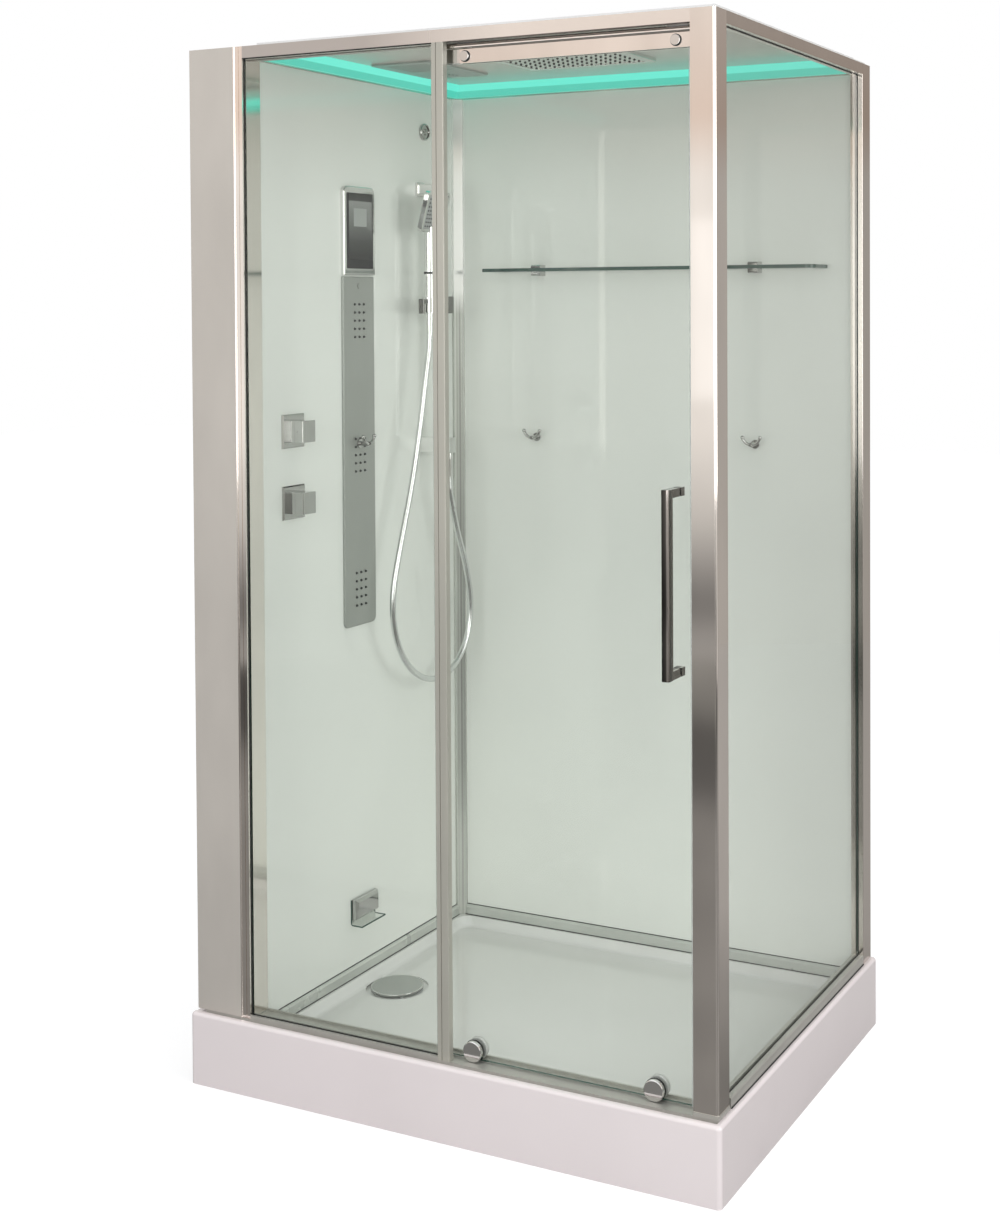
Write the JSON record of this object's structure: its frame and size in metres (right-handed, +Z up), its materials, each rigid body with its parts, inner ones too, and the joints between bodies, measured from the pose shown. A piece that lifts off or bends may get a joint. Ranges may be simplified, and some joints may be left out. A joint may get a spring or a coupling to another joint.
{
  "type": "shower cabin",
  "caption": "Free-standing rectangular steam shower cabin: white tray, aluminium frame, sliding glass door, rain head, body jets, hand shower and shelf.",
  "frame": {"origin": "centre of the tray's footprint on the floor", "axes": "+X to the right seen from the door, +Y to the back wall, +Z up"},
  "size_m": [1.2, 0.9, 2.198],
  "materials": {
    "acrylic": "white gloss acrylic",
    "steel": "galvanised",
    "black_plastic": "matt",
    "grey_plastic": "satin",
    "aluminium": "polished",
    "clear_glass": "clear tempered glass",
    "wall_glass": "back-painted gloss glass",
    "roof": "satin",
    "light": "lit diffuser",
    "chrome": "polished",
    "chromed_plastic": "chromed",
    "nozzle_rubber": "matt",
    "panel_grey": "satin",
    "head_silver": "metallic gloss",
    "screen": "gloss black",
    "brass": "cast",
    "clear_plastic": "clear acrylic",
    "white_metal": "satin",
    "hose": "smooth silver",
    "seal": "satin",
    "nylon": "satin"
  },
  "bodies": {
    "cabin": {"shower_tray": "acrylic", "support_bars": "steel", "levelling_feet": "black_plastic", "waste_trap": "grey_plastic", "front_base_rail": "aluminium", "right_base_rail": "aluminium", "fixed_glass_bead": "aluminium", "wall_foot_profiles": "aluminium", "column_cover": "aluminium", "left_jamb": "aluminium", "corner_post": "aluminium", "rear_post": "aluminium", "inner_corner_profile": "aluminium", "centre_stile": "aluminium", "front_header": "aluminium", "right_header": "aluminium", "wall_headers": "aluminium", "fixed_glass": "clear_glass", "side_glass": "clear_glass", "left_wall_panel": "wall_glass", "back_wall_panel": "wall_glass", "roof_panel": "roof", "light_strips": "light", "rain_head": "chrome", "spray_nozzles": "nozzle_rubber", "ceiling_grille": "grey_plastic", "wall_speaker": "chrome", "shower_panel": "panel_grey", "control_head": "head_silver", "control_screen": "screen", "valve_trims": "chrome", "valve_bodies": "brass", "steam_outlet": "chrome", "steam_guard": "clear_plastic", "steam_generator": "white_metal", "supply_pipes": "grey_plastic", "riser_rail": "chrome", "rail_brackets": "chrome", "shower_hose": "hose", "glass_shelf": "clear_glass", "shelf_clamps": "chrome", "robe_hooks": "chrome"},
    "door": {"door_glass": "clear_glass", "door_top_rail": "aluminium", "door_rail_caps": "chrome", "roller_hangers": "steel", "door_handle": "chrome", "door_seals": "seal", "lower_roller_caps": "chrome"},
    "upper_wheels_left": {"upper_wheels_left": "nylon"},
    "upper_wheels_right": {"upper_wheels_right": "nylon"},
    "lower_wheel_left": {"lower_wheel_left": "nylon"},
    "lower_wheel_right": {"lower_wheel_right": "nylon"},
    "diverter_knob": {"diverter_knob": "chrome"},
    "mixer_knob": {"mixer_knob": "chrome"},
    "slider": {"slider": "chromed_plastic"},
    "handset": {"handset": "chromed_plastic", "handset_cradle": "chromed_plastic"},
    "release_lever": {"release_lever": "chromed_plastic"},
    "drain_cover": {"drain_cover": "chrome"}
  },
  "joints": [
    {"name": "door_slide", "type": "slide", "parent": "cabin", "child": "door", "axis": [-1, 0, 0], "range_m": [0, 0.435]},
    {"name": "upper_wheels_left_spin", "type": "hinge", "parent": "door", "child": "upper_wheels_left", "pos_m": [0.054, -0.395, 2.1368], "axis": [0, -1, 0], "continuous": true},
    {"name": "upper_wheels_right_spin", "type": "hinge", "parent": "door", "child": "upper_wheels_right", "pos_m": [0.499, -0.395, 2.1368], "axis": [0, -1, 0], "continuous": true},
    {"name": "lower_wheel_left_spin", "type": "hinge", "parent": "door", "child": "lower_wheel_left", "pos_m": [0.06, -0.3845, 0.1713], "axis": [0, -1, 0], "continuous": true},
    {"name": "lower_wheel_right_spin", "type": "hinge", "parent": "door", "child": "lower_wheel_right", "pos_m": [0.449, -0.3845, 0.1713], "axis": [0, -1, 0], "continuous": true},
    {"name": "diverter_turn", "type": "hinge", "parent": "cabin", "child": "diverter_knob", "pos_m": [-0.44, -0.27, 1.355], "axis": [1, 0, 0], "range_deg": [-90, 90]},
    {"name": "mixer_turn", "type": "hinge", "parent": "cabin", "child": "mixer_knob", "pos_m": [-0.44, -0.27, 1.203], "axis": [1, 0, 0], "range_deg": [-50, 50]},
    {"name": "slider_slide", "type": "slide", "parent": "cabin", "child": "slider", "axis": [0, 0, 1], "range_m": [-0.26, 0.22], "deforming": ["shower_hose"]},
    {"name": "handset_tilt", "type": "hinge", "parent": "slider", "child": "handset", "pos_m": [-0.388, 0.19, 1.622], "axis": [0, 1, 0], "range_deg": [-15, 15], "deforming": ["shower_hose"]},
    {"name": "lever_swing", "type": "hinge", "parent": "handset", "child": "release_lever", "pos_m": [-0.388, 0.131, 1.63], "axis": [-1, 0, 0], "range_deg": [0, 25], "stiffness_Nm_per_rad": 0.05},
    {"name": "drain_lift", "type": "slide", "parent": "cabin", "child": "drain_cover", "axis": [0, 0, 1], "range_m": [0, 0.06]}
  ],
  "couplings": [
    {"joint": "upper_wheels_left_spin", "follows": "door_slide", "rad_per_m": 117.65},
    {"joint": "upper_wheels_right_spin", "follows": "door_slide", "rad_per_m": 117.65},
    {"joint": "lower_wheel_left_spin", "follows": "door_slide", "rad_per_m": 47.619},
    {"joint": "lower_wheel_right_spin", "follows": "door_slide", "rad_per_m": 47.619}
  ]
}
